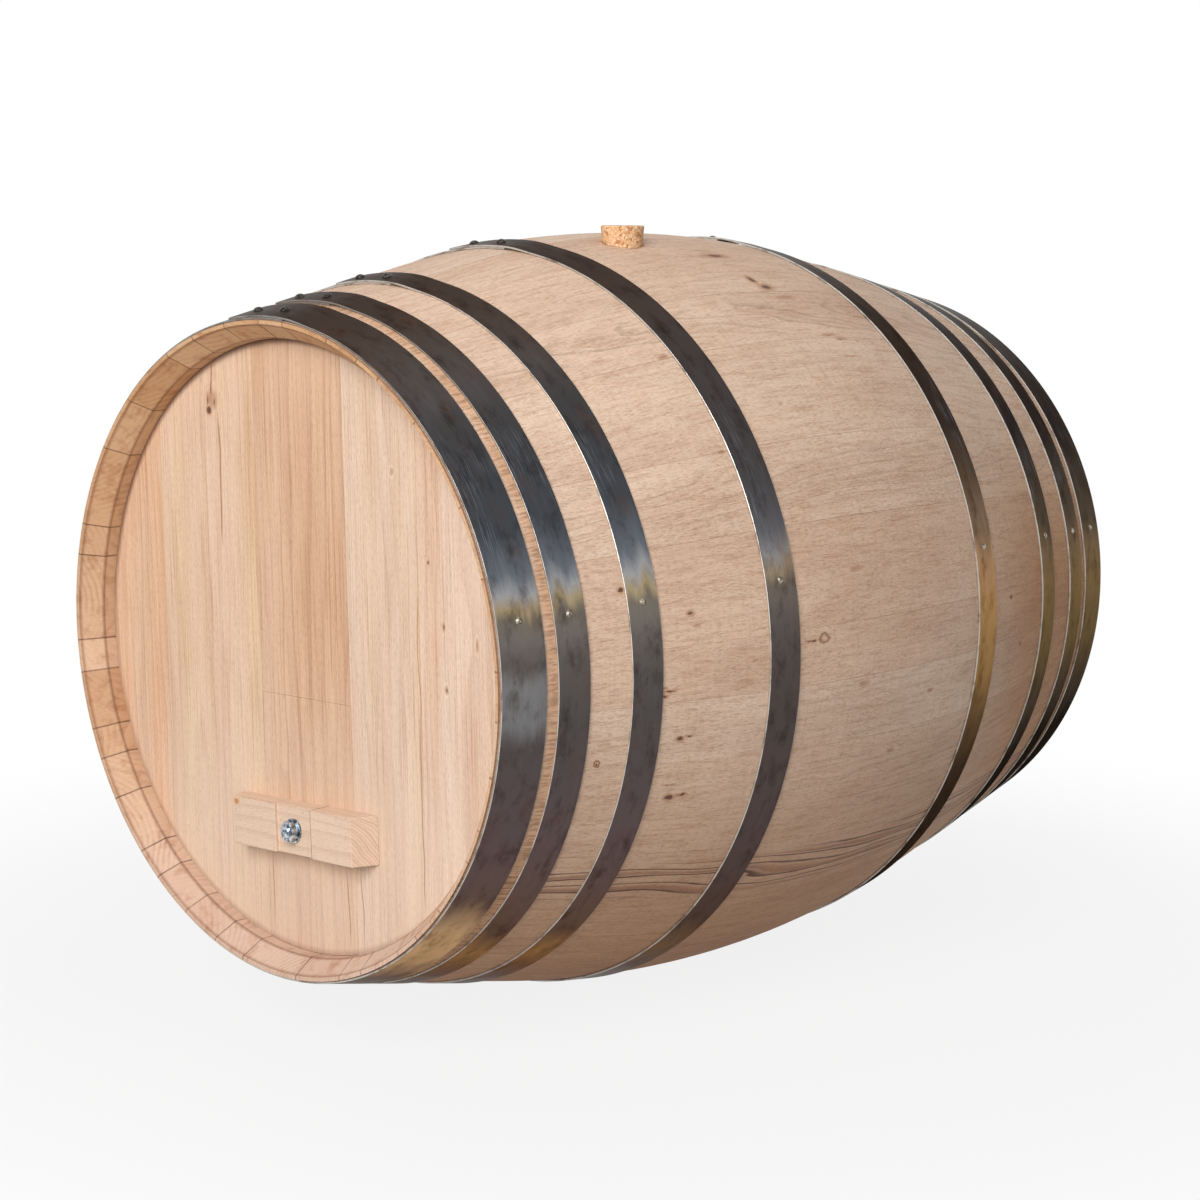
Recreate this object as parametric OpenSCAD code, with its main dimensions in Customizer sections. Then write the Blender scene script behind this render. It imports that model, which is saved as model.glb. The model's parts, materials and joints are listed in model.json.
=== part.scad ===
// Wooden barrel on its belly, with a bung on top and a bolted hatch low in its front head.
// It is drawn standing on its rear chime, axis along Z, and then laid down with its front to -Y.

/* [Barrel] */
// Radius of the wood at the belly
belly_r = 395; // [360:1:430]
// Length from chime to chime
barrel_len = 945; // [910:1:1020]
// Radius of the bow along the middle of a stave
bow_r = 1114; // [1000:1:1300]
// Distance from the middle to where a stave runs straight
bow_half = 238; // [215:1:260]
// Thickness of a stave
stave_t = 25; // [20:0.5:30]
// Number of sets of staves dealt round the barrel
stave_sets = 3; // [2:1:3]
// Angle at which the first set of staves starts
stave_turn = 168; // [160:0.5:180]

/* [Chimes] */
// Depth of a head behind the chime
chime_depth = 35.5; // [34:0.5:48]
// Width of the flat end of a chime
chime_flat = 3.5; // [2:0.5:9]
// Depth of the bevel inside a chime
chime_bevel = 22; // [8:1:32]
// Depth of the groove that holds a head
croze_depth = 6; // [3:0.5:9]
// Play of a head in its groove
croze_play = 0.1; // [0.05:0.05:0.3]

/* [Heads] */
// Thickness of a head
head_t = 24; // [18:0.5:32]
// Thickness of the tongue round a head
rim_t = 8; // [6:0.5:12]
// Width of the bevel between the tongue and the inside of a head
head_bevel = 28; // [20:1:50]
// Turn of the front head about the barrel's axis
head_turn = 1.6; // [-4:0.1:4]
// Share of the head to the left of the hatch board that the nearer board takes
left_board_share = 0.61; // [0.5:0.01:0.7]
// Share of the head to the right of the hatch board that the nearer board takes
right_board_share = 0.44; // [0.35:0.01:0.6]
// Gap between the boards of a head
board_gap = 0.1; // [0.05:0.05:0.4]
// Radius of the dowels between the boards
dowel_r = 5; // [3:0.5:7]
// Length of a dowel
dowel_len = 50; // [30:1:70]
// Distance from the end of a board joint to the room for its dowels
dowel_edge = 40; // [20:1:60]
// Share of that room that lies beyond each dowel
dowel_share = 0.2; // [0.1:0.05:0.4]

/* [Hatch] */
// Distance of the hatch's middle from the barrel's axis, to the right
hatch_x = 10.5; // [-20:0.5:30]
// Width of the hatch and of the board above it
hatch_w = 133; // [110:1:150]
// Distance of the hatch's top edge below the barrel's axis
hatch_drop = 47; // [30:1:70]
// Widening of the hatch from its front to its back, on each side
seat_taper = 4; // [2:0.5:8]
// Gap round the hatch
seat_gap = 0.3; // [0.2:0.05:0.6]
// Distance of the bolt below the barrel's axis
bolt_drop = 174; // [165:0.5:185]

/* [Crossbar] */
// Length of the crossbar at the head
bar_len = 203; // [185:1:220]
// Length of the crossbar's front face
bar_face_len = 178; // [150:1:185]
// Height of the crossbar
bar_h = 48; // [40:1:60]
// Thickness of the crossbar
bar_t = 24; // [20:0.5:28]
// Turn of the crossbar on the bolt beyond the head's turn
bar_turn = 1; // [-4:0.5:4]
// Width of the recess round the nut
recess_w = 53; // [36:1:60]
// Depth of the recess
recess_d = 3.5; // [2:0.5:12]
// Shift of the recess to the right of the bolt
recess_shift = 2.5; // [-4:0.5:4]

/* [Bolt] */
// Radius of the bolt
bolt_r = 6; // [4:0.5:8]
// Clearance of the bolt in the wood
bolt_clear = 0.5; // [0.3:0.1:1]
// Clearance of the bolt in the nut and the washer
thread_fit = 0.1; // [0.05:0.01:0.1]
// Length of the bolt past the nut
bolt_tip = 3; // [2:0.5:7]
// Width across the flats of the nut and the bolt head
nut_w = 19; // [17:0.5:26]
// Height of the nut
nut_h = 7; // [6:0.5:11]
// Height of the bolt head
bolt_head_h = 7.5; // [5:0.5:12]
// Radius of the washer
washer_r = 12; // [11:0.5:16]
// Thickness of the washer
washer_t = 2; // [1.5:0.1:3.5]
// Radius of the plate under the bolt head
plate_r = 25; // [16:0.5:40]
// Thickness of the plate
plate_t = 4; // [2:0.5:8]

/* [Bung] */
// Radius of the bung at its top
bung_r = 22.5; // [18:0.5:24]
// Length of the bung
bung_len = 55; // [45:1:65]
// Length of the bung that stands proud of the stave
bung_proud = 18; // [10:1:26]
// Taper of the bung on each side, in degrees
bung_taper = 5; // [3:0.5:8]
// Chamfer at the ends of the bung
bung_chamfer = 1.2; // [0.5:0.1:3]
// Clearance of the bung in its hole
bung_fit = 0.1; // [0.05:0.01:0.1]
// Distance of the bung from the middle, towards the front
bung_shift = 62; // [0:1:90]

/* [Hoops] */
// Thickness of the hoop steel
hoop_t = 2; // [1.2:0.1:3]
// Clearance between a hoop and the staves
hoop_fit = 0.05; // [0.02:0.01:0.1]
// Width of a head hoop
head_hoop_w = 46; // [36:0.5:48]
// Distance from the chime to a head hoop
head_hoop_inset = 2.5; // [2:0.5:8]
// Width of a collar hoop
collar_hoop_w = 33; // [26:0.5:40]
// Distance from the chime to a collar hoop
collar_hoop_inset = 60.5; // [58:0.5:70]
// Width of a quarter hoop
quarter_hoop_w = 33; // [26:0.5:40]
// Distance from the chime to a quarter hoop
quarter_hoop_inset = 138; // [130:0.5:150]
// Width of a bilge hoop
bilge_hoop_w = 37; // [28:0.5:42]
// Distance from the middle to the centre of a bilge hoop
bilge_hoop_z = 162; // [150:0.5:180]
// Length of a hoop's lap
lap_len = 86; // [76:1:110]
// Angle of the middle of the laps
lap_turn = 93; // [85:0.5:100]

/* [Rivets and nails] */
// Distance between the two rivets of a lap
rivet_gap = 40; // [30:1:48]
// Radius of a rivet's shank
rivet_r = 2.5; // [1.5:0.1:4]
// Radius of a rivet's head
rivet_head_r = 5.5; // [4.5:0.1:7]
// Height of a rivet's head
rivet_head_h = 3.2; // [2:0.1:4]
// Radius of a nail's shank
nail_r = 1.5; // [1:0.1:2]
// Radius of a nail's head
nail_head_r = 3.5; // [2.5:0.1:5]
// Height of a nail's head
nail_head_h = 1.5; // [1:0.1:2]
// Length of a nail in the wood
nail_len = 18; // [12:0.5:19]
// Clearance of rivets, nails and dowels in their holes
pin_fit = 0.1; // [0.05:0.01:0.15]

/* [Hidden] */
$fn = 96;
// Facets of the large circles
big_fn = 256;
// Spare length of a cutting solid past the face that it cuts
cut_past = 1;

wood = [0.85, 0.72, 0.58];
head_wood = [0.88, 0.74, 0.57];
bar_wood = [0.90, 0.75, 0.55];
cork = [0.83, 0.60, 0.38];
steel = [0.20, 0.20, 0.23];
zinc = [0.70, 0.72, 0.75];

// Chime widths of one set of staves, in mm before they are spread over the set's share of the round
stave_widths = [92, 34, 61, 33, 45, 65, 35, 53, 52, 45, 82, 67];
set_size = len(stave_widths);
stave_count = stave_sets * set_size;
// Places in the list of the width that takes the bung hole, in the last set, and of the one that takes the nails
bung_index = 5;
nail_index = 10;

// Each set starts one width further along the list than the set before it
function width_index(i) = (i + floor(i / set_size)) % set_size;
function stave_with(index, set) = set * set_size + (index + set_size - set) % set_size;
bung_stave = stave_with(bung_index, stave_sets - 1);

function sum_to(list, n) = n < 1 ? 0 : list[n - 1] + sum_to(list, n - 1);
set_angle = 360 / stave_sets;
per_width = set_angle / sum_to(stave_widths, set_size);
function stave_angle(i) = stave_widths[width_index(i)] * per_width;
function stave_start(i) = i < 1 ? stave_turn : stave_start(i - 1) + stave_angle(i - 1);
function stave_middle(i) = stave_start(i) + stave_angle(i) / 2;
nail_angles = [for (s = [0 : stave_sets - 1]) stave_middle(stave_with(nail_index, s))];

// The staves bow round a centre outside the barrel, and run straight beyond the bow
half_len = barrel_len / 2;
bow_angle = asin(bow_half / bow_r);
bow_x = belly_r - bow_r;
function bow_end_z(off) = (bow_r + off) * sin(bow_angle);
function bow_end_r(off) = bow_x + (bow_r + off) * cos(bow_angle);
// Radius, at height z, of the surface that lies off outside the staves
function surface_r(z, off) =
    abs(z) < bow_end_z(off)
        ? bow_x + sqrt(pow(bow_r + off, 2) - z * z)
        : bow_end_r(off) - (abs(z) - bow_end_z(off)) * tan(bow_angle);
// Lean of that surface at height z, positive where it narrows upwards
function lean(z) = abs(z) < bow_half ? asin(z / bow_r) : sign(z) * bow_angle;

// Heads and the groove that holds them
head_z = half_len - chime_depth;
howel_r = surface_r(head_z, -stave_t);
croze_r = howel_r + croze_depth;
rim_r = croze_r - croze_play;
tongue_r = howel_r - croze_play;
hatch_left = hatch_x - hatch_w / 2;
hatch_right = hatch_x + hatch_w / 2;
front_edges = [
    -croze_r,
    hatch_left - left_board_share * (croze_r + hatch_left),
    hatch_left,
    hatch_right,
    hatch_right + right_board_share * (croze_r - hatch_right),
    croze_r
];
board_count = len(front_edges) - 1;
rear_edges = [for (k = [0 : board_count]) croze_r * (2 * k / board_count - 1)];
// The hatch takes the lower part of this front board
hatch_index = 2;
hatch_r = howel_r - seat_gap;

// Stack of pieces on the bolt, outwards from the head
recess_z = head_z + bar_t - recess_d;
washer_z = recess_z;
nut_z = washer_z + washer_t;
tip_z = nut_z + nut_h + bolt_tip;
plate_z = head_z - head_t - plate_t;

// Bung upright in the middle of its stave
bung_angle = stave_middle(bung_stave);
bung_x = surface_r(bung_shift, 0) * cos(bung_angle);
bung_top = surface_r(bung_shift, 0) * sin(bung_angle) + bung_proud;
bung_end_r = bung_r - bung_len * tan(bung_taper);

// Hoops as [name, height of the middle, width]
hoop_kinds = ["head_hoop", "collar_hoop", "quarter_hoop", "bilge_hoop"];
hoop_widths = [head_hoop_w, collar_hoop_w, quarter_hoop_w, bilge_hoop_w];
hoop_heights = [
    half_len - head_hoop_inset - head_hoop_w / 2,
    half_len - collar_hoop_inset - collar_hoop_w / 2,
    half_len - quarter_hoop_inset - quarter_hoop_w / 2,
    bilge_hoop_z
];
hoops = [
    for (side = [1, -1])
        for (k = [0 : len(hoop_kinds) - 1])
            [str(side > 0 ? "front_" : "rear_", hoop_kinds[k]), side * hoop_heights[k], hoop_widths[k]]
];
function degrees_along(length, z) = length / surface_r(z, 0) * 180 / PI;

// Lays the standing barrel on its belly
module lay() {
    translate([0, 0, belly_r])
        rotate([90, 0, 0])
            children();
}

// Turns the front head's pieces with the head
module front() {
    lay()
        rotate([0, 0, head_turn])
            children();
}

// Carries the front head's pieces on to the bolt's axis
module on_bolt(z) {
    front()
        translate([hatch_x, -bolt_drop, z])
            children();
}

// Sets a pin on a hoop's middle line, its axis square to the wood's surface
module on_hoop(h, angle) {
    rotate([0, 0, angle])
        translate([surface_r(h[1], 0), 0, h[1]])
            rotate([0, 90 - lean(h[1]), 0])
                children();
}

// Section of a stave's bowed middle
module bow_section() {
    intersection() {
        translate([bow_x, 0])
            difference() {
                circle(r = bow_r, $fn = big_fn);
                circle(r = bow_r - stave_t, $fn = big_fn);
            }
        translate([0, -bow_half])
            square([2 * belly_r, 2 * bow_half]);
    }
}

// Section of a stave's straight end, with its chime and its groove
module end_section() {
    end_r = surface_r(half_len, 0);
    groove_top = head_z + croze_play;
    groove_foot = head_z - rim_t - croze_play;
    polygon([
        [bow_end_r(0), bow_half],
        [end_r, half_len],
        [end_r - chime_flat, half_len],
        [howel_r, half_len - chime_bevel],
        [howel_r, groove_top],
        [croze_r, groove_top],
        [croze_r, groove_foot],
        [surface_r(groove_foot, -stave_t), groove_foot],
        [bow_x + sqrt(pow(bow_r - stave_t, 2) - bow_half * bow_half), bow_half]
    ]);
}

// Turns a stave's section through the stave's share of the round
module turn_stave(i) {
    rotate([0, 0, stave_start(i)])
        rotate_extrude(angle = stave_angle(i), $fn = big_fn)
            children();
}

module stave(i) {
    color(wood)
        lay()
            difference() {
                union() {
                    turn_stave(i)
                        bow_section();
                    for (end = [0, 1])
                        mirror([0, 0, end])
                            turn_stave(i)
                                end_section();
                }
                if (i == bung_stave)
                    bung_hole();
                if (width_index(i) == nail_index)
                    for (h = hoops)
                        on_hoop(h, stave_middle(i))
                            nail_hole();
            }
}

// Stands the bung and its hole in their place, narrow end down
module on_bung() {
    translate([bung_x, bung_top - bung_len, bung_shift])
        rotate([-90, 0, 0])
            children();
}

// Cone of the bung's hole, from inside the stave to past its outside
module bung_hole() {
    on_bung()
        cylinder(r1 = bung_end_r + bung_fit, r2 = bung_r + bung_fit, h = bung_len);
}

module bung() {
    color(cork)
        lay()
            on_bung()
                rotate_extrude()
                    polygon([
                        [0, 0],
                        [bung_end_r - bung_chamfer, 0],
                        [bung_end_r + bung_chamfer * tan(bung_taper), bung_chamfer],
                        [bung_r - bung_chamfer * tan(bung_taper), bung_len - bung_chamfer],
                        [bung_r - bung_chamfer, bung_len],
                        [0, bung_len]
                    ]);
}

// Section of a hoop's band from one depth to another, in layers, along the surface at the hoop's middle
module band_section(h, first, last) {
    rise = h[2] / 2;
    narrowing = rise * tan(lean(h[1]));
    layer = hoop_t / cos(lean(h[1]));
    inner = surface_r(h[1], 0) + hoop_fit / cos(lean(h[1]));
    translate([0, h[1]])
        polygon([
            [inner + first * layer + narrowing, -rise],
            [inner + last * layer + narrowing, -rise],
            [inner + last * layer - narrowing, rise],
            [inner + first * layer - narrowing, rise]
        ]);
}

// Closed band with a lap, whose upper layer starts halfway into the lower one so that both are one piece
module hoop(h) {
    lap = degrees_along(lap_len, h[1]);
    color(steel)
        lay()
            difference() {
                union() {
                    rotate_extrude($fn = big_fn)
                        band_section(h, 0, 1);
                    rotate([0, 0, lap_turn - lap / 2])
                        rotate_extrude(angle = lap, $fn = big_fn)
                            band_section(h, 0.5, 2);
                }
                for (a = rivet_angles(h))
                    on_hoop(h, a)
                        cylinder(r = rivet_r + pin_fit, h = 2 * hoop_t + cut_past);
                for (a = nail_angles)
                    on_hoop(h, a)
                        cylinder(r = nail_r + pin_fit, h = hoop_t + cut_past);
            }
}

function rivet_angles(h) = [for (s = [-1, 1]) lap_turn + s * degrees_along(rivet_gap, h[1]) / 2];

// Domed head on a shank through both layers of the lap
module rivet() {
    seat = hoop_fit + 2 * hoop_t;
    dome_r = (pow(rivet_head_r, 2) + pow(rivet_head_h, 2)) / (2 * rivet_head_h);
    translate([0, 0, hoop_fit])
        cylinder(r = rivet_r, h = 2 * hoop_t);
    translate([0, 0, seat])
        rotate_extrude()
            intersection() {
                translate([0, rivet_head_h - dome_r])
                    circle(r = dome_r);
                square([rivet_head_r, rivet_head_h]);
            }
}

module hoop_rivets() {
    color(steel)
        lay()
            for (h = hoops)
                for (a = rivet_angles(h))
                    on_hoop(h, a)
                        rivet();
}

module nail_hole() {
    translate([0, 0, -nail_len])
        cylinder(r = nail_r + pin_fit, h = nail_len + cut_past);
}

// Low conical head on a shank through one layer of the hoop into the stave
module nail() {
    seat = hoop_fit + hoop_t;
    translate([0, 0, pin_fit - nail_len])
        cylinder(r = nail_r, h = nail_len + seat);
    translate([0, 0, seat])
        cylinder(r1 = nail_head_r, r2 = nail_head_r / 2, h = nail_head_h);
}

module hoop_nails() {
    color(steel)
        lay()
            for (h = hoops)
                for (a = nail_angles)
                    on_hoop(h, a)
                        nail();
}

// Whole head as one disc, with a tongue in the groove
module head_disc() {
    rotate_extrude($fn = big_fn)
        polygon([
            [0, head_z - head_t],
            [tongue_r - head_bevel, head_z - head_t],
            [tongue_r, head_z - rim_t],
            [rim_r, head_z - rim_t],
            [rim_r, head_z],
            [0, head_z]
        ]);
}

// One board of a head, between two of its edges
module board(edges, k) {
    difference() {
        intersection() {
            head_disc();
            translate([edges[k] + board_gap / 2, -croze_r, head_z - head_t])
                cube([edges[k + 1] - edges[k] - board_gap, 2 * croze_r, head_t]);
        }
        dowels(edges, pin_fit);
    }
}

// Heights of the two dowels of a joint, above the hatch where the joint runs into it
function joint_top(x) = sqrt(rim_r * rim_r - x * x) - dowel_edge;
function joint_foot(edges, k) =
    edges == front_edges && (k == hatch_index || k == hatch_index + 1)
        ? dowel_edge - hatch_drop
        : -joint_top(edges[k]);
function dowel_heights(edges, k) = [
    for (share = [dowel_share, 1 - dowel_share])
        joint_foot(edges, k) + share * (joint_top(edges[k]) - joint_foot(edges, k))
];

// Dowels through the joints of a head, fatter and longer by a fit for their holes
module dowels(edges, fit) {
    long = dowel_len + 2 * fit;
    for (k = [1 : board_count - 1])
        for (y = dowel_heights(edges, k))
            translate([edges[k] - long / 2, y, head_z - head_t / 2])
                rotate([0, 90, 0])
                    cylinder(r = dowel_r + fit, h = long);
}

module head_dowels() {
    color(bar_wood) {
        front()
            dowels(front_edges, 0);
        lay()
            mirror([0, 0, 1])
                dowels(rear_edges, 0);
    }
}

module front_head_board(k) {
    color(head_wood)
        front()
            difference() {
                board(front_edges, k);
                hatch_block(-seat_gap / 2);
            }
}

module rear_head_boards() {
    color(head_wood)
        lay()
            mirror([0, 0, 1])
                for (k = [0 : board_count - 1])
                    board(rear_edges, k);
}

// Block of the hatch, drawn in by a gap, wider at the back on both sides and at the top
module hatch_block(gap) {
    front_half = hatch_w / 2 - gap;
    back_half = front_half + seat_taper;
    top = -hatch_drop - gap;
    back_z = head_z - head_t;
    intersection() {
        translate([hatch_x, 0, 0])
            rotate([90, 0, 0])
                linear_extrude(height = croze_r)
                    polygon([
                        [-back_half, back_z],
                        [back_half, back_z],
                        [front_half, head_z],
                        [-front_half, head_z]
                    ]);
        translate([hatch_x - hatch_w, 0, 0])
            rotate([90, 0, 90])
                linear_extrude(height = 2 * hatch_w)
                    polygon([
                        [-croze_r, back_z],
                        [top + seat_taper, back_z],
                        [top, head_z],
                        [-croze_r, head_z]
                    ]);
    }
}

module hatch_door() {
    color(head_wood)
        front()
            difference() {
                intersection() {
                    hatch_block(seat_gap / 2);
                    translate([0, 0, head_z - head_t])
                        cylinder(r = hatch_r, h = head_t, $fn = big_fn);
                }
                translate([hatch_x, -bolt_drop, head_z - head_t - cut_past])
                    cylinder(r = bolt_r + bolt_clear, h = head_t + 2 * cut_past);
            }
}

module hatch_plate() {
    color(zinc)
        on_bolt(plate_z)
            difference() {
                cylinder(r = plate_r, h = plate_t);
                translate([0, 0, -cut_past])
                    cylinder(r = bolt_r + thread_fit, h = plate_t + 2 * cut_past);
            }
}

// Hexagon with its corners chamfered at one or both ends, standing on its foot
module hexagon(h, foot_chamfer) {
    flat_r = nut_w / 2;
    corner_r = flat_r / cos(30);
    drop = (corner_r - flat_r) * tan(30);
    intersection() {
        cylinder(r = corner_r, h = h, $fn = 6);
        rotate_extrude()
            polygon([
                [0, 0],
                [foot_chamfer ? flat_r : corner_r, 0],
                [corner_r, foot_chamfer ? drop : 0],
                [corner_r, h - drop],
                [flat_r, h],
                [0, h]
            ]);
    }
}

module hatch_bolt() {
    color(zinc) {
        on_bolt(plate_z)
            mirror([0, 0, 1])
                hexagon(bolt_head_h, false);
        on_bolt(plate_z)
            cylinder(r = bolt_r, h = tip_z - plate_z);
    }
}

module crossbar() {
    color(bar_wood)
        on_bolt(head_z)
            rotate([0, 0, bar_turn])
                difference() {
                    translate([0, bar_h / 2, 0])
                        rotate([90, 0, 0])
                            linear_extrude(height = bar_h)
                                polygon([
                                    [-bar_len / 2, 0],
                                    [bar_len / 2, 0],
                                    [bar_face_len / 2, bar_t],
                                    [-bar_face_len / 2, bar_t]
                                ]);
                    translate([recess_shift - recess_w / 2, -bar_h, bar_t - recess_d])
                        cube([recess_w, 2 * bar_h, recess_d + cut_past]);
                    translate([0, 0, -cut_past])
                        cylinder(r = bolt_r + bolt_clear, h = bar_t + 2 * cut_past);
                }
}

module hatch_washer() {
    color(zinc)
        on_bolt(washer_z)
            difference() {
                cylinder(r = washer_r, h = washer_t);
                translate([0, 0, -cut_past])
                    cylinder(r = bolt_r + thread_fit, h = washer_t + 2 * cut_past);
            }
}

module hatch_nut() {
    color(zinc)
        on_bolt(nut_z)
            difference() {
                hexagon(nut_h, true);
                translate([0, 0, -cut_past])
                    cylinder(r = bolt_r + thread_fit, h = nut_h + 2 * cut_past);
            }
}

for (i = [0 : stave_count - 1])
    stave(i);
for (h = hoops)
    hoop(h);
for (k = [0 : board_count - 1])
    front_head_board(k);
rear_head_boards();
head_dowels();
hatch_door();
hatch_plate();
hatch_bolt();
crossbar();
hatch_washer();
hatch_nut();
bung();
hoop_rivets();
hoop_nails();
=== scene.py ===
import json
import math
import random

import bmesh
import bpy
from mathutils import Matrix, Vector, noise


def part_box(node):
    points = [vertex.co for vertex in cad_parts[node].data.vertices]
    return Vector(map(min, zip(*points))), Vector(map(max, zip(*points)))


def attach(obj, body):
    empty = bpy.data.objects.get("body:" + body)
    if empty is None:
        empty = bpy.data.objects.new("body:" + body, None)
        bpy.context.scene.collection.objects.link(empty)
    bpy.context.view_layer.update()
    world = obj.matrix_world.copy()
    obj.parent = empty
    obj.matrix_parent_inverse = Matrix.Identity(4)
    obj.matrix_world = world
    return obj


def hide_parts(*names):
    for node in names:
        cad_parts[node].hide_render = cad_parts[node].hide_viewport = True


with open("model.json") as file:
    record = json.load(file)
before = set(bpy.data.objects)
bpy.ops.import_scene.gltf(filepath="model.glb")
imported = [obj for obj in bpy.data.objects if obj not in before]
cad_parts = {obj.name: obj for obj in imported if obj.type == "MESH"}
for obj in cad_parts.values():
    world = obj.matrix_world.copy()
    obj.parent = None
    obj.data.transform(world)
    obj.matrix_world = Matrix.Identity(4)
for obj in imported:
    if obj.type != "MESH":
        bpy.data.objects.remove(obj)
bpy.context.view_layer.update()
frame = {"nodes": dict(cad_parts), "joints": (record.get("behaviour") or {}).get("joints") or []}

# Wooden barrel on its belly: staves in steel hoops, a cork bung on top, a bolted hatch in the front head.
# Sizes are in metres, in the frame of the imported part: the axis runs along Y and the front looks to -Y.

# Barrel
BELLY_R = 0.395
HALF_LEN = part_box("stave_1")[1].y
BOW_R = 1.114
BOW_HALF = 0.238
STAVE_T = 0.025
BOW_LEAN = math.asin(BOW_HALF / BOW_R)
AXIS = Vector((0, 0, BELLY_R))
# Chimes and the groove of a head
HEAD_Y = -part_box("front_head_board_1")[0].y
CHIME_FLAT = 0.0035
CHIME_BEVEL = 0.022
CROZE_DEPTH = 0.006
CROZE_PLAY = 0.0001
RIM_T = 0.008
# Rounding of the staves' edges, and steps along and across a stave
STAVE_EDGE = 0.00022
STAVE_STEPS = 72
COLUMN_ANGLE = math.radians(2.0)
# Hoops
HOOP_T = 0.002
HOOP_EDGE = 0.0004
HOOP_STEP = math.radians(1.25)
LAP_RAMP = math.radians(7.0)
LAP_GAP = 0.00004
LAP_TRIM = 0.007
LAP_TRIM_SLOPE = 0.6
LAP_TRIM_STEPS = 5
# Bolt thread
THREAD_PITCH = 0.00175
THREAD_DEPTH = 0.00095
# Front head
HEAD_TURN = math.radians(1.6)
# How near a point is to a face that it lies on
TOUCH = 0.0001
# Seed of all that is drawn at random
SEED = 11


def srgb(red, green, blue):
    """Colour from its values of 0 to 255, as a shader takes it."""
    linear = [((c / 255 + 0.055) / 1.055) ** 2.4 for c in (red, green, blue)]
    return (*linear, 1.0)


class Shader:
    """A material, its colour so far, and short names for making its nodes."""

    def __init__(self, name):
        self.colour = None
        self.material = bpy.data.materials.new(name)
        self.material.use_nodes = True
        self.tree = self.material.node_tree
        self.tree.nodes.clear()
        self.surface = self.add("BsdfPrincipled")
        self.output = self.add("OutputMaterial")
        self.feed(self.output.inputs["Surface"], self.surface.outputs[0])

    def add(self, kind, **settings):
        node = self.tree.nodes.new("ShaderNode" + kind)
        for key, value in settings.items():
            setattr(node, key, value)
        return node

    def feed(self, socket, value):
        if isinstance(value, bpy.types.NodeSocket):
            self.tree.links.new(value, socket)
        else:
            socket.default_value = value

    def complete(self, **inputs):
        """Feeds the surface its colour and its other inputs, and gives the material."""
        self.feed(self.surface.inputs["Base Color"], self.colour)
        for key, value in inputs.items():
            self.feed(self.surface.inputs[key.replace("_", " ")], value)
        return self.material

    def math(self, operation, *values):
        node = self.add("Math", operation=operation)
        for socket, value in zip(node.inputs, values):
            self.feed(socket, value)
        return node.outputs[0]

    def times(self, a, b):
        return self.math("MULTIPLY", a, b)

    def vector(self, operation, *values):
        node = self.add("VectorMath", operation=operation)
        for socket, value in zip(node.inputs, values):
            self.feed(socket, value)
        return node.outputs["Value" if operation == "LENGTH" else "Vector"]

    def split(self, vector):
        node = self.add("SeparateXYZ")
        self.feed(node.inputs[0], vector)
        return node.outputs

    def join(self, x, y, z):
        node = self.add("CombineXYZ")
        for socket, value in zip(node.inputs, (x, y, z)):
            self.feed(socket, value)
        return node.outputs[0]

    def place(self):
        """Point of the surface in the frame of the part."""
        return self.add("TexCoord").outputs["Object"]

    def stored(self, name):
        """Vector that the mesh keeps under a name."""
        return self.add("Attribute", attribute_name=name).outputs["Vector"]

    def noise_node(self, where, scale, detail, roughness):
        node = self.add("TexNoise")
        self.feed(node.inputs["Vector"], self.vector("MULTIPLY", where, scale))
        self.feed(node.inputs["Scale"], 1.0)
        self.feed(node.inputs["Detail"], detail)
        self.feed(node.inputs["Roughness"], roughness)
        return node

    def noise(self, where, scale, detail=2.0, roughness=0.5):
        """Noise of 0 to 1 with its own scale along each axis, in lumps a metre."""
        return self.noise_node(where, scale, detail, roughness).outputs["Fac"]

    def ragged(self, where, scale, reach):
        """The place moved a little at random, which makes outlines irregular."""
        moved = self.noise_node(where, scale, 2.0, 0.5).outputs["Color"]
        moved = self.vector("SUBTRACT", moved, (0.5, 0.5, 0.5))
        return self.vector("ADD", where, self.vector("MULTIPLY", moved, (reach, reach, reach)))

    def step(self, value, low, high):
        """0 at low and 1 at high, smooth between; low may be above high."""
        node = self.add("MapRange", interpolation_type="SMOOTHSTEP")
        self.feed(node.inputs["Value"], value)
        node.inputs["From Min"].default_value = min(low, high)
        node.inputs["From Max"].default_value = max(low, high)
        node.inputs["To Min"].default_value = float(low > high)
        node.inputs["To Max"].default_value = float(low < high)
        return node.outputs[0]

    def band(self, value, rise, fall):
        """1 between a rise and a fall, each given as the two values of a step."""
        return self.times(self.step(value, *rise), self.step(value, *fall))

    def spread(self, value, low, high):
        """A value of 0 to 1 taken to the range from low to high."""
        return self.math("MULTIPLY_ADD", value, high - low, low)

    def mix(self, share, a, b, blend="MIX"):
        node = self.add("Mix", data_type="RGBA", blend_type=blend)
        self.feed(node.inputs[0], share)
        self.feed(node.inputs[6], a)
        self.feed(node.inputs[7], b)
        return node.outputs[2]

    def lay(self, tone, share, strength=1.0, blend="MIX"):
        """Lays a tone of 0 to 255 over the colour so far."""
        self.colour = self.mix(self.spread(share, 0, strength), self.colour, srgb(*tone), blend)

    def tint(self, tone, share, strength=1.0):
        """Multiplies the colour so far by a tone."""
        self.lay(tone, share, strength, "MULTIPLY")

    def ramp(self, value, stops):
        """Colour from stops given as (value, tone of 0 to 255), in rising order."""
        low, high = stops[0][0], stops[-1][0]
        node = self.add("ValToRGB")
        points = node.color_ramp.elements
        points.remove(points[1])
        points[0].position = 0.0
        points[0].color = srgb(*stops[0][1])
        for stop, tone in stops[1:]:
            points.new((stop - low) / (high - low)).color = srgb(*tone)
        share = self.math("DIVIDE", self.math("SUBTRACT", value, low), high - low)
        self.feed(node.inputs[0], share)
        return node.outputs[0]

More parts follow.
